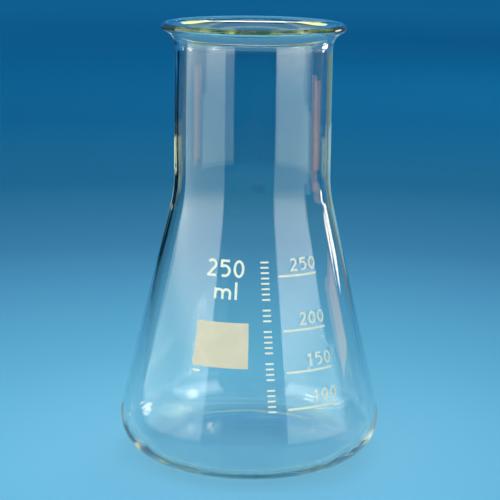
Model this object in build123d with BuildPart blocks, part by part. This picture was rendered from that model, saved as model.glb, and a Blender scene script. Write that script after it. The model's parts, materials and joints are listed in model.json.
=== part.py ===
from build123d import *

import os
from math import atan, cos, degrees, radians, sin, sqrt, tan

# Wide-neck conical laboratory flask: one blown glass vessel, and the enamel marks fired on to it.
# Millimetres, +Z up. The origin is the middle of the base, on the plane that the flask stands on.
# The marks face -Y. Angles round the flask are in degrees from -Y, and grow towards +X.

# ---- Vessel ----
HEIGHT = 140.0
BODY_DIAMETER = 85.0
NECK_DIAMETER = 50.0
CONE_ANGLE = 13.5  # how far the side of the body leans in from the vertical, degrees
SHOULDER_RADIUS = 48.0  # outside, where the body turns into the neck
HEEL_RADIUS = 12.5  # outside, where the body turns into the base
WALL = 1.3  # of the body, square to the glass
NECK_WALL = 1.6
BASE_THICKNESS = 2.5  # at the foot ring
INNER_HEEL_RADIUS = 10.4
FLOOR_SLOPE = 1.2  # of the inside floor, where it leaves the heel, degrees
FOOT_WIDTH = 3.0  # the flat ring that the flask stands on
PUSH_UP = 0.3  # how far the underside rises inside the foot ring
FOOT_BLEND_RADIUS = 60.0  # from the foot ring to the underside

# ---- Rim ----
RIM_DIAMETER = 58.4
BEAD_RADIUS = 1.3
FLARE_RADIUS = 5.5  # outside, where the neck turns out to the rim
INNER_FLARE_RADIUS = 7.3

# ---- Enamel marks: heights above the foot, and angles of left and right ends ----
ENAMEL = 0.08  # thickness
LINE_WIDTH = 0.65
GRADUATIONS = {
    "100": (25.0, 17.4, 43.7),
    "150": (36.0, 17.5, 43.1),
    "200": (48.5, 17.2, 42.6),
    "250": (64.9, 16.0, 41.7),
}
FIGURE_HEIGHT = 4.0  # of the scale's figures
FIGURE_PEN = 0.56
FIGURE_PITCH = 3.4
FIGURE_RISE = 1.3  # from the middle of a line to the foot of its figures
CAPACITY_HEIGHT = 5.4  # of the large figures
CAPACITY_PEN = 0.76
CAPACITY_FOOT = 64.6
CAPACITY_LEFT = -26.5
CAPACITY_PITCH = 4.3
UNIT_FOOT = 58.0
UNIT_M_ANGLE = -15.9
UNIT_M_HEIGHT = 3.4
UNIT_L_ANGLE = -8.3
UNIT_L_HEIGHT = 5.4
FIELD = (37.5, 51.1, -28.75, -0.85)  # write-on patch: low, high, left, right
TICK = (35.85, 36.4, -28.4, -24.4)  # short dash under the patch
DASH_COLUMN = (24.6, 69.3)  # lowest and highest dash
DASH_COLUMN_ANGLES = (10.3, 8.0)  # the middle of the column at its lower and upper end
DASH_GROUPS = (5, 4, 5, 3, 8)  # dashes in each group, from the bottom
DASH_LENGTH = 2.5
DASH_WIDTH = 0.5
MARK_BAND = (20.0, 72.0, -40.0, 50.0)  # low, high, left, right: holds every mark
COAT_REACH = 1.0  # how far a character is carried each way to be cut to the coat

# ---- Worked out from the above ----
slope = tan(radians(CONE_ANGLE))
lean = cos(radians(CONE_ANGLE))
neck_radius = NECK_DIAMETER / 2
bore_radius = neck_radius - NECK_WALL
heel_centre = BODY_DIAMETER / 2 - HEEL_RADIUS

# Height at which the straight side, carried on up, would meet the straight neck.
corner_height = HEEL_RADIUS + (heel_centre + HEEL_RADIUS / lean - neck_radius) / slope
inner_corner_height = corner_height + (NECK_WALL - WALL / lean) / slope
inner_shoulder_radius = SHOULDER_RADIUS + (WALL + NECK_WALL) / 2


def side_radius(z):
    """Outside radius of the straight side of the body at height z."""
    return neck_radius + (corner_height - z) * slope


bead_centre = Vector(RIM_DIAMETER / 2 - BEAD_RADIUS, HEIGHT - BEAD_RADIUS)


def flare_start(wall_radius, flare_radius, reach):
    """Height at which a flare leaves the straight neck to end tangent to the rim's bead.

    reach is the distance between the centre of the flare's arc and that of the bead.
    """
    across = wall_radius + flare_radius - bead_centre.X
    return bead_centre.Y - sqrt(reach**2 - across**2)


flare_height = flare_start(neck_radius, FLARE_RADIUS, FLARE_RADIUS + BEAD_RADIUS)
inner_flare_height = flare_start(bore_radius, INNER_FLARE_RADIUS, INNER_FLARE_RADIUS - BEAD_RADIUS)
flare_centre = Vector(neck_radius + FLARE_RADIUS, flare_height)
inner_flare_centre = Vector(bore_radius + INNER_FLARE_RADIUS, inner_flare_height)

# Turns of the two flares, from the vertical neck to where each meets the bead.
flare_turn = degrees(atan((bead_centre.Y - flare_centre.Y) / (flare_centre.X - bead_centre.X)))
inner_flare_turn = degrees(
    atan((bead_centre.Y - inner_flare_centre.Y) / (inner_flare_centre.X - bead_centre.X))
)

# The underside is a shallow dome that meets the foot ring through a blend of the same turn.
foot_inside = heel_centre - FOOT_WIDTH
dome_turn = 2 * degrees(atan(PUSH_UP / foot_inside))
dome_radius = foot_inside / sin(radians(dome_turn)) - FOOT_BLEND_RADIUS

inner_heel_height = BASE_THICKNESS + INNER_HEEL_RADIUS
inner_heel_centre = side_radius(inner_heel_height) - (WALL + INNER_HEEL_RADIUS) / lean
floor_radius = inner_heel_centre / sin(radians(FLOOR_SLOPE)) - INNER_HEEL_RADIUS


# ---- Glass vessel: one section, from the middle of the base out, up, over the rim and back ----
with BuildPart() as glass_flask:
    with BuildSketch(Plane.XZ):
        with BuildLine():
            dome = JernArc((0, PUSH_UP), (1, 0), dome_radius, -dome_turn)
            foot_blend = JernArc(dome @ 1, dome % 1, FOOT_BLEND_RADIUS, dome_turn)
            heel = CenterArc((heel_centre, HEEL_RADIUS), HEEL_RADIUS, -90, 90 + CONE_ANGLE)
            Line(foot_blend @ 1, heel @ 0)
            shoulder = CenterArc(
                (
                    neck_radius + SHOULDER_RADIUS,
                    corner_height + SHOULDER_RADIUS * tan(radians(CONE_ANGLE / 2)),
                ),
                SHOULDER_RADIUS,
                180 + CONE_ANGLE,
                -CONE_ANGLE,
            )
            Line(heel @ 1, shoulder @ 0)
            flare = CenterArc(flare_centre, FLARE_RADIUS, 180, -flare_turn)
            Line(shoulder @ 1, flare @ 0)
            bead = CenterArc(
                bead_centre, BEAD_RADIUS, -flare_turn, 180 + flare_turn - inner_flare_turn
            )
            inner_flare = CenterArc(
                inner_flare_centre, INNER_FLARE_RADIUS, 180 - inner_flare_turn, inner_flare_turn
            )
            inner_shoulder = CenterArc(
                (
                    bore_radius + inner_shoulder_radius,
                    inner_corner_height + inner_shoulder_radius * tan(radians(CONE_ANGLE / 2)),
                ),
                inner_shoulder_radius,
                180,
                CONE_ANGLE,
            )
            Line(inner_flare @ 1, inner_shoulder @ 0)
            inner_heel = CenterArc(
                (inner_heel_centre, inner_heel_height),
                INNER_HEEL_RADIUS,
                CONE_ANGLE,
                -(90 + CONE_ANGLE + FLOOR_SLOPE),
            )
            Line(inner_shoulder @ 1, inner_heel @ 0)
            floor = JernArc(inner_heel @ 1, inner_heel % 1, floor_radius, FLOOR_SLOPE)
            Line(floor @ 1, dome @ 0)
        make_face()
    revolve(axis=Axis.Z)


# ---- Enamel ----
def coat_patch(low, high, left, right):
    """A patch of enamel on the straight side, between two heights and two angles."""
    with BuildPart() as patch:
        edge = Plane(
            origin=(0, 0, 0),
            x_dir=(sin(radians(left)), -cos(radians(left)), 0),
            z_dir=(-cos(radians(left)), -sin(radians(left)), 0),
        )
        with BuildSketch(edge):
            with BuildLine():
                Polyline(
                    (side_radius(low), low),
                    (side_radius(low) + ENAMEL / lean, low),
                    (side_radius(high) + ENAMEL / lean, high),
                    (side_radius(high), high),
                    close=True,
                )
            make_face()
        revolve(axis=Axis.Z, revolution_arc=right - left)
    return patch.part


def figure_width(height):
    return 0.62 * height


def figure_zero(height, pen):
    """An oval ring."""
    half_width = figure_width(height) / 2
    with BuildSketch() as figure:
        with Locations((0, height / 2)):
            Ellipse(half_width, height / 2)
            Ellipse(half_width - pen, height / 2 - pen, mode=Mode.SUBTRACT)
    return figure.sketch


def figure_one(height, pen):
    """An upright stem with a short flag."""
    stem = 0.06 * height
    with BuildSketch() as figure:
        with BuildLine():
            Line((stem, 0), (stem, height))
        trace(line_width=pen)
        with BuildLine():
            Line((stem, height - 0.6 * pen), (stem - 0.26 * height, height - 0.24 * height))
        trace(line_width=0.9 * pen)
    return figure.sketch


def figure_two(height, pen):
    """A hook that runs into a slanting stroke, on a base line."""
    half_width = figure_width(height) / 2
    reach = half_width - pen / 2
    with BuildSketch() as figure:
        with BuildLine():
            hook = CenterArc((-0.04 * height, height - pen / 2 - reach), reach, 150, -184)
            Line(hook @ 1, (-reach, pen / 2))
        trace(line_width=pen)
        with BuildLine():
            Line((-half_width, pen / 2), (half_width - 0.3 * pen, pen / 2))
        trace(line_width=pen)
    return figure.sketch


def figure_five(height, pen):
    """A top bar, a stem and a bowl."""
    half_width = figure_width(height) / 2
    bowl_radius = 0.29 * height
    bowl_centre = (half_width - pen / 2 - bowl_radius, pen / 2 + bowl_radius)
    bar_height = height - pen / 2
    with BuildSketch() as figure:
        with BuildLine():
            Polyline(
                (half_width - 0.6 * pen, bar_height),
                (-0.72 * half_width, bar_height),
                (-0.79 * half_width, 0.56 * height),
            )
        trace(line_width=pen)
        with BuildLine():
            CenterArc(bowl_centre, bowl_radius, 128, -248)
        trace(line_width=pen)
    return figure.sketch


def letter_m(height, pen):
    """Three stems under two arches."""
    reach = 0.345 * height
    with BuildSketch() as letter:
        with BuildLine():
            Line((-2 * reach, 0), (-2 * reach, height))
        trace(line_width=pen)
        for start in (-2 * reach, 0):
            with BuildLine():
                arch = CenterArc((start + reach, height - pen / 2 - reach), reach, 180, -180)
                Line(arch @ 1, (start + 2 * reach, 0))
            trace(line_width=pen)
    return letter.sketch


def letter_l(height, pen):
    """One tall stem."""
    with BuildSketch() as letter:
        with BuildLine():
            Line((0, 0), (0, height))
        trace(line_width=pen)
    return letter.sketch


FIGURES = {"0": figure_zero, "1": figure_one, "2": figure_two, "5": figure_five}


def side_plane(z, angle):
    """Plane that touches the straight side at a height and angle, its Y up the slope."""
    turn = radians(angle)
    outward = (sin(turn) * lean, -cos(turn) * lean, sin(radians(CONE_ANGLE)))
    point = (side_radius(z) * sin(turn), -side_radius(z) * cos(turn), z)
    return Plane(origin=point, x_dir=(cos(turn), sin(turn), 0), z_dir=outward)


def arc_angle(length, z):
    """Angle that a length round the outside takes up at height z."""
    return degrees(length / side_radius(z))


def printed(text, glyphs, height, pen, pitch, foot, first_angle):
    """A row of enamel characters, a pitch apart round the glass, first_angle the first one's middle."""
    with BuildPart() as row:
        for place, character in enumerate(text):
            angle = first_angle + place * arc_angle(pitch, foot)
            with BuildSketch(side_plane(foot, angle)):
                add(glyphs[character](height, pen))
            extrude(amount=COAT_REACH, both=True)
        add(coat, mode=Mode.INTERSECT)
    return row.part


def finish(solid, name):
    """Label a finished piece and write it."""
    solid.label = name
    export_step(solid, f"parts/{name}.step")


# The whole band of the side that carries marks, as one coat. Characters are cut from it.
coat = coat_patch(*MARK_BAND)

os.makedirs("parts", exist_ok=True)
finish(glass_flask.part, "glass_flask")

for name, (height, left, right) in GRADUATIONS.items():
    line = coat_patch(height - LINE_WIDTH / 2, height + LINE_WIDTH / 2, left, right)
    finish(line, f"graduation_line_{name}")

    foot = height + FIGURE_RISE
    row_length = 2 * FIGURE_PITCH + figure_width(FIGURE_HEIGHT) / 2
    first_angle = right - arc_angle(row_length, foot)
    number = printed(name, FIGURES, FIGURE_HEIGHT, FIGURE_PEN, FIGURE_PITCH, foot, first_angle)
    finish(number, f"graduation_number_{name}")

capacity_first = CAPACITY_LEFT + arc_angle(figure_width(CAPACITY_HEIGHT) / 2, CAPACITY_FOOT)
capacity = printed(
    "250", FIGURES, CAPACITY_HEIGHT, CAPACITY_PEN, CAPACITY_PITCH, CAPACITY_FOOT, capacity_first
)
finish(capacity, "capacity_number_print")

with BuildPart() as unit:
    with BuildSketch(side_plane(UNIT_FOOT, UNIT_M_ANGLE)):
        add(letter_m(UNIT_M_HEIGHT, CAPACITY_PEN))
    extrude(amount=COAT_REACH, both=True)
    with BuildSketch(side_plane(UNIT_FOOT, UNIT_L_ANGLE)):
        add(letter_l(UNIT_L_HEIGHT, CAPACITY_PEN))
    extrude(amount=COAT_REACH, both=True)
    add(coat, mode=Mode.INTERSECT)
finish(unit.part, "capacity_unit_print")

finish(coat_patch(*FIELD), "marking_field_print")
finish(coat_patch(*TICK), "field_tick_print")

# The dashes are evenly spaced, with one place left out between groups.
places = sum(DASH_GROUPS) + len(DASH_GROUPS) - 2
spacing = (DASH_COLUMN[1] - DASH_COLUMN[0]) / places
with BuildPart() as dashes:
    place = 0
    for group in DASH_GROUPS:
        for _ in range(group):
            height = DASH_COLUMN[0] + place * spacing
            share = place / places
            middle = DASH_COLUMN_ANGLES[0] * (1 - share) + DASH_COLUMN_ANGLES[1] * share
            reach = arc_angle(DASH_LENGTH / 2, height)
            add(
                coat_patch(
                    height - DASH_WIDTH / 2, height + DASH_WIDTH / 2, middle - reach, middle + reach
                )
            )
            place += 1
        place += 1
finish(dashes.part, "side_dashes_print")
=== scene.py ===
import json
from math import atan2, ceil, cos, pi, radians, sin, sqrt, tan, tau

import bpy
from mathutils import Matrix, Vector, noise


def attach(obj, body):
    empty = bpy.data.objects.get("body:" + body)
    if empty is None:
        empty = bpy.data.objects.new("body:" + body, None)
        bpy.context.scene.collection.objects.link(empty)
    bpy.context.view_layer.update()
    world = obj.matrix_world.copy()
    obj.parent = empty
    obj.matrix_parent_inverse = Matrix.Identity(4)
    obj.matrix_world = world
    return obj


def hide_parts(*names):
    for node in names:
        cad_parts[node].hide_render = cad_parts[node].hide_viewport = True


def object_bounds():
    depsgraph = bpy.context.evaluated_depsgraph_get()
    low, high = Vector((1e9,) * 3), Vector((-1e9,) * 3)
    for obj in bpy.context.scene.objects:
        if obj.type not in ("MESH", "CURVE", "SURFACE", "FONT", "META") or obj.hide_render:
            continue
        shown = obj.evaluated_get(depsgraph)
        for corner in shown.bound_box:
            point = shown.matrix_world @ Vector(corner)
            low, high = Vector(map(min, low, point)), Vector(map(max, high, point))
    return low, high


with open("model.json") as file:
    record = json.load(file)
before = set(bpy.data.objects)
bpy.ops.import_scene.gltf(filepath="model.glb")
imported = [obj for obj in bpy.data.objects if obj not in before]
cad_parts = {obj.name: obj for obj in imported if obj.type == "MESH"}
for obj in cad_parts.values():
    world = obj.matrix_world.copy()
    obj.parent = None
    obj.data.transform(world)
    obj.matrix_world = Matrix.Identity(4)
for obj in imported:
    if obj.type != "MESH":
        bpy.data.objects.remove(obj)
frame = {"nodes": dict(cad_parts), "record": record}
cad_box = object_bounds()

# ---- Sizes, in metres: from the frame where it has them, and the rest as the glass is drawn ----
MM = 0.001
mounts = {mount["name"]: mount for mount in frame["record"]["mounts"]}
height = cad_box[1].z
body_radius = cad_box[1].x
bore_radius = mounts["neck_bore"]["dims"]["r_mm"] * MM
neck_radius = mounts["neck_grip"]["dims"]["r_mm"] * MM

CONE_ANGLE = radians(13.5)  # lean of the body's side
SHOULDER_RADIUS = 48 * MM
HEEL_RADIUS = 12.5 * MM
WALL = 1.3 * MM
BASE_THICKNESS = 2.5 * MM
INNER_HEEL_RADIUS = 10.4 * MM
FLOOR_SLOPE = radians(1.2)
FOOT_WIDTH = 3.0 * MM
PUSH_UP = 0.3 * MM
FOOT_BLEND_RADIUS = 60 * MM
RIM_RADIUS = 29.2 * MM
BEAD_RADIUS = 1.3 * MM
FLARE_RADIUS = 5.5 * MM
INNER_FLARE_RADIUS = 7.3 * MM
SEGMENTS = 240  # round the glass
LINE_STEP = 1.1 * MM  # between rings on a straight stretch
SAME_PLACE = 0.001 * MM  # ends nearer than this are one point
ARC_STEP = 0.8 * MM  # between rings on a large arc
ARC_TURN = radians(7.5)  # and the most that an arc turns between rings
WALL_WAVE = 0.10 * MM  # how far the blown inside wall strays from its even thickness
WAVES = (  # each with its share, its fineness round the glass, its length up it, and two shifts
    (0.55, 6.0, 0.09, 0.0, 0.0),  # long streaks
    (0.20, 17.0, 0.05, 40.0, 0.0),  # fine streaks
    (0.60, 1.5, 0.03, 0.0, 9.0),  # broad swells
)
STILL_MIDDLE = 20 * MM  # the waves grow from nothing over this radius
STILL_TOP = 12 * MM  # and fade out over this height under the rim

# ---- Camera: the photograph's place and lens ----
CAMERA_PLACE = (0.0, -0.518, 0.1822)
CAMERA_PITCH = radians(12.57)
CAMERA_YAW = radians(-0.045)
CAMERA_ROLL = radians(0.71)
CAMERA_LENS = 117.8
CAMERA_SENSOR = 36.0

# ---- Stage ----
FLOOR_RADIUS = 12.0
FLOOR_SIDES = 64
FLOOR_GAP = 0.2 * MM  # of air under the foot
TENT_RADIUS = 0.42
FAR_RADIUS = 1.60
PANEL_STEP = radians(3.0)
GRADE = (0.06, 0.12)  # the heights between which a softbox turns from its dimmer foot to full light
DIM_MIRRORINGS = (14, 30)  # light led round inside the glass is dimmed between these counts
DIM_SHARE = 0.1  # of it is left after that
EARLY_DIM = (2, 4)  # and between these for the one lamp that would burn out the edge of the heel
BOUNCES = 96  # enough for the light to go through every wall of glass
CLEAR_BOUNCES = 32  # and through the panels that it doesn't see


def link(thing):
    bpy.context.scene.collection.objects.link(thing)
    return thing


def make_camera():
    data = bpy.data.cameras.new("camera")
    data.lens = CAMERA_LENS
    data.sensor_width = CAMERA_SENSOR
    data.clip_start = 0.01
    camera = link(bpy.data.objects.new("camera", data))
    aim = Matrix.Rotation(-CAMERA_YAW, 4, "Z") @ Matrix.Rotation(pi / 2 - CAMERA_PITCH, 4, "X")
    roll = Matrix.Rotation(CAMERA_ROLL, 4, "Z")
    camera.matrix_world = Matrix.Translation(CAMERA_PLACE) @ aim @ roll
    bpy.context.scene.camera = camera


# ---- Node helpers ----
def new_material(name):
    """A node material with only its output: the material, its tree and the output node."""
    material = bpy.data.materials.new(name)
    material.use_nodes = True
    tree = material.node_tree
    tree.nodes.clear()
    return material, tree, tree.nodes.new("ShaderNodeOutputMaterial")


def add_node(tree, kind, settings=None, **inputs):
    """A node with its settings. Its inputs are values or sockets; an underscore stands for a space."""
    node = tree.nodes.new("ShaderNode" + kind)
    for name, value in (settings or {}).items():
        setattr(node, name, value)
    for name, value in inputs.items():
        socket = node.inputs[name.replace("_", " ")]
        if isinstance(value, bpy.types.NodeSocket):
            tree.links.new(value, socket)
        else:
            socket.default_value = value
    return node


def add_ramp(tree, factor, stops):
    """A colour ramp through (place, colour) stops."""
    ramp = add_node(tree, "ValToRGB", Fac=factor)
    elements = ramp.color_ramp.elements
    while len(elements) < len(stops):
        elements.new(0.5)
    for element, (place, colour) in zip(elements, stops):
        element.position = place
        element.color = (*colour, 1.0)
    return ramp.outputs["Color"]


def set_shader(material, shader, output, socket="Surface"):
    material.node_tree.links.new(shader.outputs[0], output.inputs[socket])
    return material


# ---- Glass ----
def arc(centre, radius, start, turn):
    """Points along an arc in the (radius, height) plane, both ends included."""
    count = max(ceil(abs(turn) * radius / ARC_STEP), ceil(abs(turn) / ARC_TURN), 2)
    angles = [start + turn * i / count for i in range(count + 1)]
    return [(centre[0] + radius * cos(a), centre[1] + radius * sin(a)) for a in angles]


def joined(stretches):
    """One outline from its arcs, with evenly spaced points on the straight runs between them."""
    points = list(stretches[0])
    for stretch in stretches[1:]:
        (x0, y0), (x1, y1) = points[-1], stretch[0]
        run = sqrt((x1 - x0) ** 2 + (y1 - y0) ** 2)
        if run < SAME_PLACE:
            points += stretch[1:]
            continue
        count = ceil(run / LINE_STEP)
        points += [
            (x0 + (x1 - x0) * i / count, y0 + (y1 - y0) * i / count) for i in range(1, count)
        ]
        points += stretch
    return points


def glass_section():
    """The outside and the inside of the glass, each from the middle of the base up to the rim."""
    slope, lean = tan(CONE_ANGLE), cos(CONE_ANGLE)
    heel_centre = body_radius - HEEL_RADIUS
    corner = HEEL_RADIUS + (heel_centre + HEEL_RADIUS / lean - neck_radius) / slope
    inner_corner = corner + (neck_radius - bore_radius - WALL / lean) / slope
    inner_shoulder = SHOULDER_RADIUS + (WALL + neck_radius - bore_radius) / 2
    bead = (RIM_RADIUS - BEAD_RADIUS, height - BEAD_RADIUS)

    def flare(wall_radius, radius, reach):
        """Centre of a flare's arc, and its turn from the upright neck to the bead."""
        across = wall_radius + radius - bead[0]
        rise = sqrt(reach**2 - across**2)
        return (wall_radius + radius, bead[1] - rise), atan2(rise, across)

    outer_flare, outer_turn = flare(neck_radius, FLARE_RADIUS, FLARE_RADIUS + BEAD_RADIUS)
    inner_flare, inner_turn = flare(bore_radius, INNER_FLARE_RADIUS, INNER_FLARE_RADIUS - BEAD_RADIUS)

    foot_inside = heel_centre - FOOT_WIDTH
    dome_turn = 2 * atan2(PUSH_UP, foot_inside)
    dome_radius = foot_inside / sin(dome_turn) - FOOT_BLEND_RADIUS
    outside = joined(
        [
            arc((0, PUSH_UP - dome_radius), dome_radius, pi / 2, -dome_turn),
            arc((foot_inside, FOOT_BLEND_RADIUS), FOOT_BLEND_RADIUS, -pi / 2 - dome_turn, dome_turn),
            arc((heel_centre, HEEL_RADIUS), HEEL_RADIUS, -pi / 2, pi / 2 + CONE_ANGLE),
            arc(
                (neck_radius + SHOULDER_RADIUS, corner + SHOULDER_RADIUS * tan(CONE_ANGLE / 2)),
                SHOULDER_RADIUS,
                pi + CONE_ANGLE,
                -CONE_ANGLE,
            ),
            arc(outer_flare, FLARE_RADIUS, pi, -outer_turn),
            arc(bead, BEAD_RADIUS, -outer_turn, pi + outer_turn - inner_turn),
        ]
    )

    heel_height = BASE_THICKNESS + INNER_HEEL_RADIUS
    side = neck_radius + (corner - heel_height) * slope
    inner_heel = side - (WALL + INNER_HEEL_RADIUS) / lean
    floor_radius = inner_heel / sin(FLOOR_SLOPE) - INNER_HEEL_RADIUS
    floor_centre = heel_height - (INNER_HEEL_RADIUS + floor_radius) * cos(FLOOR_SLOPE)
    inside = joined(
        [
            arc((0, floor_centre), floor_radius, pi / 2, -FLOOR_SLOPE),
            arc(
                (inner_heel, heel_height),
                INNER_HEEL_RADIUS,
                -pi / 2 - FLOOR_SLOPE,
                pi / 2 + FLOOR_SLOPE + CONE_ANGLE,
            ),
            arc(
                (bore_radius + inner_shoulder, inner_corner + inner_shoulder * tan(CONE_ANGLE / 2)),
                inner_shoulder,
                pi + CONE_ANGLE,
                -CONE_ANGLE,
            ),
            arc(inner_flare, INNER_FLARE_RADIUS, pi, -inner_turn),
        ]
    )
    return outside, inside


def wall_wave(angle, radius, z):
    """How far the inside wall strays at a place: long upright streaks, as drawn glass has."""
    fade = min(1.0, radius / STILL_MIDDLE, max(0.0, (height - z) / STILL_TOP))
    total = 0.0
    for share, fineness, length, across, up in WAVES:
        spot = (fineness * cos(angle) + across, fineness * sin(angle), z / length + up)
        total += share * noise.noise(Vector(spot))
    return WALL_WAVE * fade * total


def make_glass():
    """The blown vessel as one closed turned mesh. The outside is exact; the inside wall waves."""
    outside, inside = glass_section()
    section = [(r, z, False) for r, z in outside] + [(r, z, True) for r, z in reversed(inside[:-1])]
    vertices, rings = [], []
    for r, z, blown in section:
        if r < SAME_PLACE:
            rings.append([len(vertices)])
            vertices.append((0, 0, z))
            continue
        ring = []
        for i in range(SEGMENTS):
            angle = tau * i / SEGMENTS
            reach = r + (wall_wave(angle, r, z) if blown else 0)
            ring.append(len(vertices))
            vertices.append((reach * cos(angle), reach * sin(angle), z))
        rings.append(ring)
    faces = []
    for low, high in zip(rings, rings[1:]):
        for i in range(SEGMENTS):
            j = (i + 1) % SEGMENTS
            if len(low) == 1:
                faces.append((low[0], high[j], high[i]))
            elif len(high) == 1:
                faces.append((low[i], low[j], high[0]))
            else:
                faces.append((low[i], low[j], high[j], high[i]))
    mesh = bpy.data.meshes.new("blown_glass")
    mesh.from_pydata(vertices, [], faces)
    mesh.polygons.foreach_set("use_smooth", [True] * len(faces))
    mesh.update()
    glass = link(bpy.data.objects.new("blown_glass", mesh))
    glass.data.materials.append(glass_material())
    glass.visible_shadow = False
    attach(glass, "root")
    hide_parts("glass_flask")


def glass_material():
    """Clear glass with faint upright streaks, and a yellow-green that shows only where it is deep."""
    material, tree, output = new_material("borosilicate_glass")
    place = add_node(tree, "TexCoord").outputs["Object"]
    streaks = add_node(tree, "Mapping", Vector=place, Scale=(130, 130, 9))
    wave = add_node(tree, "TexNoise", Vector=streaks.outputs[0], Scale=1.0, Detail=2.0)
    bump = add_node(tree, "Bump", Strength=0.1, Distance=0.2 * MM, Height=wave.outputs["Fac"])
    shader = add_node(
        tree,
        "BsdfPrincipled",
        Base_Color=(0.99, 1.0, 0.995, 1),
        Roughness=0.0,
        IOR=1.473,
        Transmission_Weight=1.0,
        Normal=bump.outputs[0],
    )
    set_shader(material, shader, output)
    tint = add_node(tree, "VolumeAbsorption", Color=(0.95, 0.995, 0.70, 1), Density=8.0)
    return set_shader(material, tint, output, "Volume")


# ---- Enamel ----
def enamel_material(name, pale, deep, scale):
    """Fired enamel: cream, faintly mottled, with a fine grain and a satin gloss."""
    material, tree, output = new_material(name)
    place = add_node(tree, "TexCoord").outputs["Object"]
    cloud = add_node(tree, "TexNoise", Vector=place, Scale=scale, Detail=5.0, Roughness=0.6)
    colour = add_ramp(tree, cloud.outputs["Fac"], [(0.32, deep), (0.68, pale)])
    grain = add_node(tree, "TexNoise", Vector=place, Scale=5200.0, Detail=3.0)
    rough = add_node(tree, "MapRange", Value=grain.outputs["Fac"], To_Min=0.38, To_Max=0.58)
    bump = add_node(tree, "Bump", Strength=0.25, Distance=0.02 * MM, Height=grain.outputs["Fac"])
    shader = add_node(
        tree,
        "BsdfPrincipled",
        Base_Color=colour,
        Roughness=rough.outputs[0],
        Normal=bump.outputs[0],
    )
    return set_shader(material, shader, output)


def paint_marks():
    """Each CAD mark keeps its own solid and gets the enamel."""
    print_enamel = enamel_material("enamel_print", (0.80, 0.77, 0.58), (0.70, 0.68, 0.48), 900.0)
    patch_enamel = enamel_material("enamel_patch", (0.63, 0.54, 0.38), (0.56, 0.49, 0.32), 160.0)
    for name, node in frame["nodes"].items():
        if name == "glass_flask":
            continue
        enamel = patch_enamel if name == "marking_field_print" else print_enamel
        node.data.materials.clear()
        node.data.materials.append(enamel)


# ---- Stage ----
def floor_painted_light_material():
    """Blue that changes with the distance from the flask to give the shades behind it, as painted light:
    palest by the flask is a painted pool of light, darkest 0.5 to 0.8 m out is painted falloff, and the
    lighter blue out to 2 m makes up for the lamps' light falling off there.
    """
    material, tree, output = new_material("floor")
    place = add_node(tree, "TexCoord").outputs["Object"]
    distance = add_node(tree, "VectorMath", {"operation": "LENGTH"})
    tree.links.new(place, distance.inputs[0])
    reach = add_node(tree, "MapRange", Value=distance.outputs["Value"], From_Max=2.0)
    colour = add_ramp(
        tree,
        reach.outputs[0],
        [
            (0.0, (0.200, 0.485, 0.635)),
            (0.035, (0.157, 0.432, 0.582)),
            (0.0625, (0.120, 0.376, 0.509)),
            (0.107, (0.087, 0.297, 0.439)),
            (0.16, (0.050, 0.202, 0.331)),
            (0.25, (0.019, 0.148, 0.258)),
            (0.39, (0.0095, 0.143, 0.288)),
            (0.62, (0.0095, 0.198, 0.388)),
            (1.0, (0.034, 0.355, 0.600)),
        ],
    )
    shader = add_node(tree, "BsdfDiffuse", Color=colour)
    return set_shader(material, shader, output)


def make_floor():
    mesh = bpy.data.meshes.new("floor")
    angles = [tau * i / FLOOR_SIDES for i in range(FLOOR_SIDES)]
    corners = [(FLOOR_RADIUS * cos(a), FLOOR_RADIUS * sin(a), -FLOOR_GAP) for a in angles]
    mesh.from_pydata(corners, [], [tuple(range(FLOOR_SIDES))])
    floor = link(bpy.data.objects.new("floor", mesh))
    floor.data.materials.append(floor_painted_light_material())


def panel_material(name, colour, strength, low_colour=None, dimming=DIM_MIRRORINGS):
    """Light that only shows in reflections: a ray that has met no mirror passes straight through.

    With a low_colour, the panel changes from it to colour over the heights of GRADE.
    Its light is dimmed after many mirrorings. Real light isn't: this keeps the rim from filling with green.
    """
    material, tree, output = new_material(name)
    mirrored = add_node(tree, "LightPath").outputs["Glossy Depth"]
    seen = add_node(tree, "Math", {"operation": "GREATER_THAN"})
    tree.links.new(mirrored, seen.inputs[0])
    power = add_node(
        tree,
        "MapRange",
        Value=mirrored,
        From_Min=dimming[0],
        From_Max=dimming[1],
        To_Min=strength,
        To_Max=strength * DIM_SHARE,
    )
    clear = add_node(tree, "BsdfTransparent")
    glow = add_node(tree, "Emission", Color=(*colour, 1), Strength=power.outputs[0])
    if low_colour:
        place = add_node(tree, "TexCoord").outputs["Object"]
        up = add_node(tree, "SeparateXYZ", Vector=place).outputs["Z"]
        rise = add_node(
            tree,
            "MapRange",
            {"interpolation_type": "SMOOTHSTEP"},
            Value=up,
            From_Min=GRADE[0],
            From_Max=GRADE[1],
        )
        blend = add_ramp(tree, rise.outputs[0], [(0.0, low_colour), (1.0, colour)])
        tree.links.new(blend, glow.inputs["Color"])
    mix = add_node(tree, "MixShader", Fac=seen.outputs[0])
    tree.links.new(clear.outputs[0], mix.inputs[1])
    tree.links.new(glow.outputs[0], mix.inputs[2])
    material.cycles.emission_sampling = "NONE"
    return set_shader(material, mix, output)


def hide_panel(panel):
    panel.visible_camera = False
    panel.visible_diffuse = False
    panel.visible_shadow = False


def make_panel(
    name,
    start,
    end,
    low,
    high,
    colour,
    strength,
    radius=TENT_RADIUS,
    low_colour=None,
    dimming=DIM_MIRRORINGS,
):
    """An upright curved panel. Angles are in degrees from the camera's side, and grow to the right."""
    start, end = radians(start), radians(end)
    count = ceil((end - start) / PANEL_STEP)
    vertices = []
    for i in range(count + 1):
        angle = start + (end - start) * i / count
        x, y = radius * sin(angle), -radius * cos(angle)
        vertices += [(x, y, low), (x, y, high)]
    faces = [(2 * i, 2 * i + 2, 2 * i + 3, 2 * i + 1) for i in range(count)]
    mesh = bpy.data.meshes.new(name)
    mesh.from_pydata(vertices, [], faces)
    panel = link(bpy.data.objects.new(name, mesh))
    panel.data.materials.append(panel_material(name, colour, strength, low_colour, dimming))
    hide_panel(panel)


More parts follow.
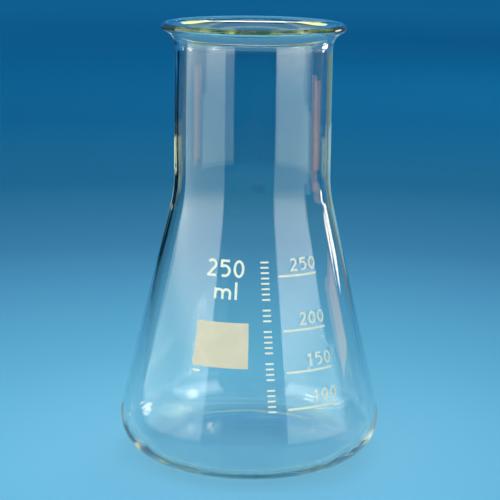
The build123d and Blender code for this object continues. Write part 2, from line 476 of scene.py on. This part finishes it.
def make_ceiling(name, middle, half_sides, colour, strength):
    """A level panel over the flask."""
    x, y, z = middle
    half_width, half_depth = half_sides
    signs = [(-1, -1), (1, -1), (1, 1), (-1, 1)]
    corners = [(x + half_width * i, y + half_depth * j, z) for i, j in signs]
    mesh = bpy.data.meshes.new(name)
    mesh.from_pydata(corners, [], [(0, 1, 2, 3)])
    panel = link(bpy.data.objects.new(name, mesh))
    panel.data.materials.append(panel_material(name, colour, strength))
    hide_panel(panel)


def make_tent():
    """What the glass mirrors: two tall softboxes, a few small lamps, and dark and coloured cards.

    They are set so that the reflections fall where the photograph has them, from its side only.
    Each panel says its angles, its heights, its colour and its strength.
    """
    top = 0.45
    near = TENT_RADIUS - 0.01  # just in front of the other panels
    soft = (0.94, 1.0, 0.92)
    foot = (0.345, 0.45, 0.42)  # the softboxes' dimmer light near the floor
    warm = (1.0, 0.90, 0.72)
    dark = (0.010, 0.022, 0.035)
    black = (0.0, 0.004, 0.010)
    shade = (0.06, 0.10, 0.14)
    blue = (0.02, 0.28, 0.75)
    backdrop = (0.015, 0.20, 0.52)
    make_panel("softbox_left", -112, -40, 0.0, top, soft, 3.0, low_colour=foot)
    make_panel("softbox_right", 32, 91, 0.0, 0.06, soft, 3.0, low_colour=foot)
    make_panel("softbox_right_high", 32, 82, 0.06, top, soft, 3.0, low_colour=foot)
    make_panel("dark_front", -40, 32, 0.0, top, dark, 1.0)
    make_panel("dark_side_left", -121, -112, 0.0, top, dark, 1.0)
    make_panel("dark_side_right", 82, 91, 0.06, top, dark, 1.0)

    make_panel("bulb_left", -84, -70, 0.34, 0.42, warm, 14.0, near)
    make_panel("bulb_right", 60, 74, 0.22, 0.40, warm, 12.0, near)
    make_panel("bulb_right_low", 118, 135, 0.17, 0.30, warm, 10.0, 0.80, dimming=EARLY_DIM)
    make_panel("bulb_far_right", 122, 130, 0.01, 0.11, warm, 8.0, FAR_RADIUS - 0.01)
    make_panel("bulb_back_left", -175.9, -175.4, 0.101, 0.121, warm, 1.2, near)
    make_panel("salmon_card", 98, 112, 0.028, 0.078, (1.0, 0.50, 0.14), 1.7, near)

    make_panel("dark_right", 91, 118, 0.0, top, shade, 1.0)
    make_panel("dark_far_right", 118, 135, 0.0, top, shade, 1.0, FAR_RADIUS)
    make_panel("grey_right", 135, 150, 0.0, 0.10, (0.12, 0.16, 0.16), 1.0)
    make_panel("grey_back_right", 150, 168, 0.0, 0.05, (0.20, 0.42, 0.52), 1.0)
    make_panel("pale_back_right", 168, 179, 0.0, 0.05, (0.70, 0.85, 0.70), 1.0)
    make_panel("olive_back_right", 150, 164, 0.05, 0.10, (0.20, 0.30, 0.14), 1.0)
    make_panel("blue_back_right", 164, 179, 0.05, 0.10, blue, 1.0)
    make_panel("low_back_left", -181, -159, 0.0, 0.022, (0.06, 0.20, 0.28), 1.0)
    make_panel("lime_back_left", -181, -159, 0.022, 0.040, (0.82, 1.00, 0.66), 1.0)
    make_panel("black_back_left", -169, -159, 0.040, 0.10, black, 1.0)
    make_panel("black_side_left", -159, -121, 0.0, 0.10, black, 1.0)
    make_panel("blue_back_left", -181, -169, 0.040, 0.10, blue, 1.0)
    make_panel("backdrop_right", 135, 179, 0.10, top, backdrop, 1.0)
    make_panel("backdrop_left", -181, -121, 0.10, top, backdrop, 1.0)

    under = top - 0.01
    make_ceiling("overhead_strip", (0.0, 0.02, under), (0.40, 0.03), (1.0, 1.0, 0.95), 3.0)
    for name, x in (("lime_ceiling_left", -0.27), ("lime_ceiling_right", 0.27)):
        make_ceiling(name, (x, 0.22, under), (0.13, 0.20), (0.85, 1.0, 0.45), 1.3)
    make_ceiling("dark_ceiling", (0.0, 0.0, top), (FAR_RADIUS, FAR_RADIUS), (0.02, 0.06, 0.10), 1.0)


def make_lamp(name, place, size, power):
    """A large soft lamp that faces the flask. It lights the floor and the enamel but shows in nothing."""
    data = bpy.data.lights.new(name, "AREA")
    data.shape = "DISK"
    data.size = size
    data.energy = power
    lamp = link(bpy.data.objects.new(name, data))
    place = Vector(place)
    aim = (Vector((0, 0, height / 2)) - place).to_track_quat("-Z", "Y").to_matrix().to_4x4()
    lamp.matrix_world = Matrix.Translation(place) @ aim
    lamp.visible_camera = False
    lamp.visible_glossy = False
    lamp.visible_transmission = False


def make_world():
    """A plain sky that goes on from the far floor."""
    world = bpy.data.worlds.new("world")
    bpy.context.scene.world = world
    world.use_nodes = True
    tree = world.node_tree
    tree.nodes.clear()
    direction = add_node(tree, "TexCoord").outputs["Generated"]
    up = add_node(tree, "SeparateXYZ", Vector=direction).outputs["Z"]
    colour = add_ramp(tree, up, [(0.0, (0.05, 0.18, 0.31)), (0.5, (0.10, 0.27, 0.42))])
    sky = add_node(tree, "Background", Color=colour, Strength=1.0)
    output = tree.nodes.new("ShaderNodeOutputWorld")
    tree.links.new(sky.outputs[0], output.inputs["Surface"])


def set_render():
    """Plain colours, many bounces, light that passes through glass on to the marks, and no noise."""
    scene = bpy.context.scene
    scene.view_settings.view_transform = "Standard"
    scene.cycles.use_denoising = True
    scene.cycles.max_bounces = BOUNCES
    scene.cycles.glossy_bounces = BOUNCES
    scene.cycles.transmission_bounces = BOUNCES
    scene.cycles.transparent_max_bounces = CLEAR_BOUNCES
    scene.cycles.caustics_reflective = False
    scene.cycles.caustics_refractive = True


make_camera()
make_glass()
paint_marks()
make_floor()
make_tent()
make_lamp("lamp_overhead", place=(-0.10, 0.0, 1.25), size=0.8, power=6.0)
make_lamp("lamp_front", place=(-0.28, -0.95, 0.60), size=0.6, power=12.5)
make_lamp("lamp_back", place=(0.30, 0.90, 0.75), size=0.8, power=3.0)
make_world()
set_render()
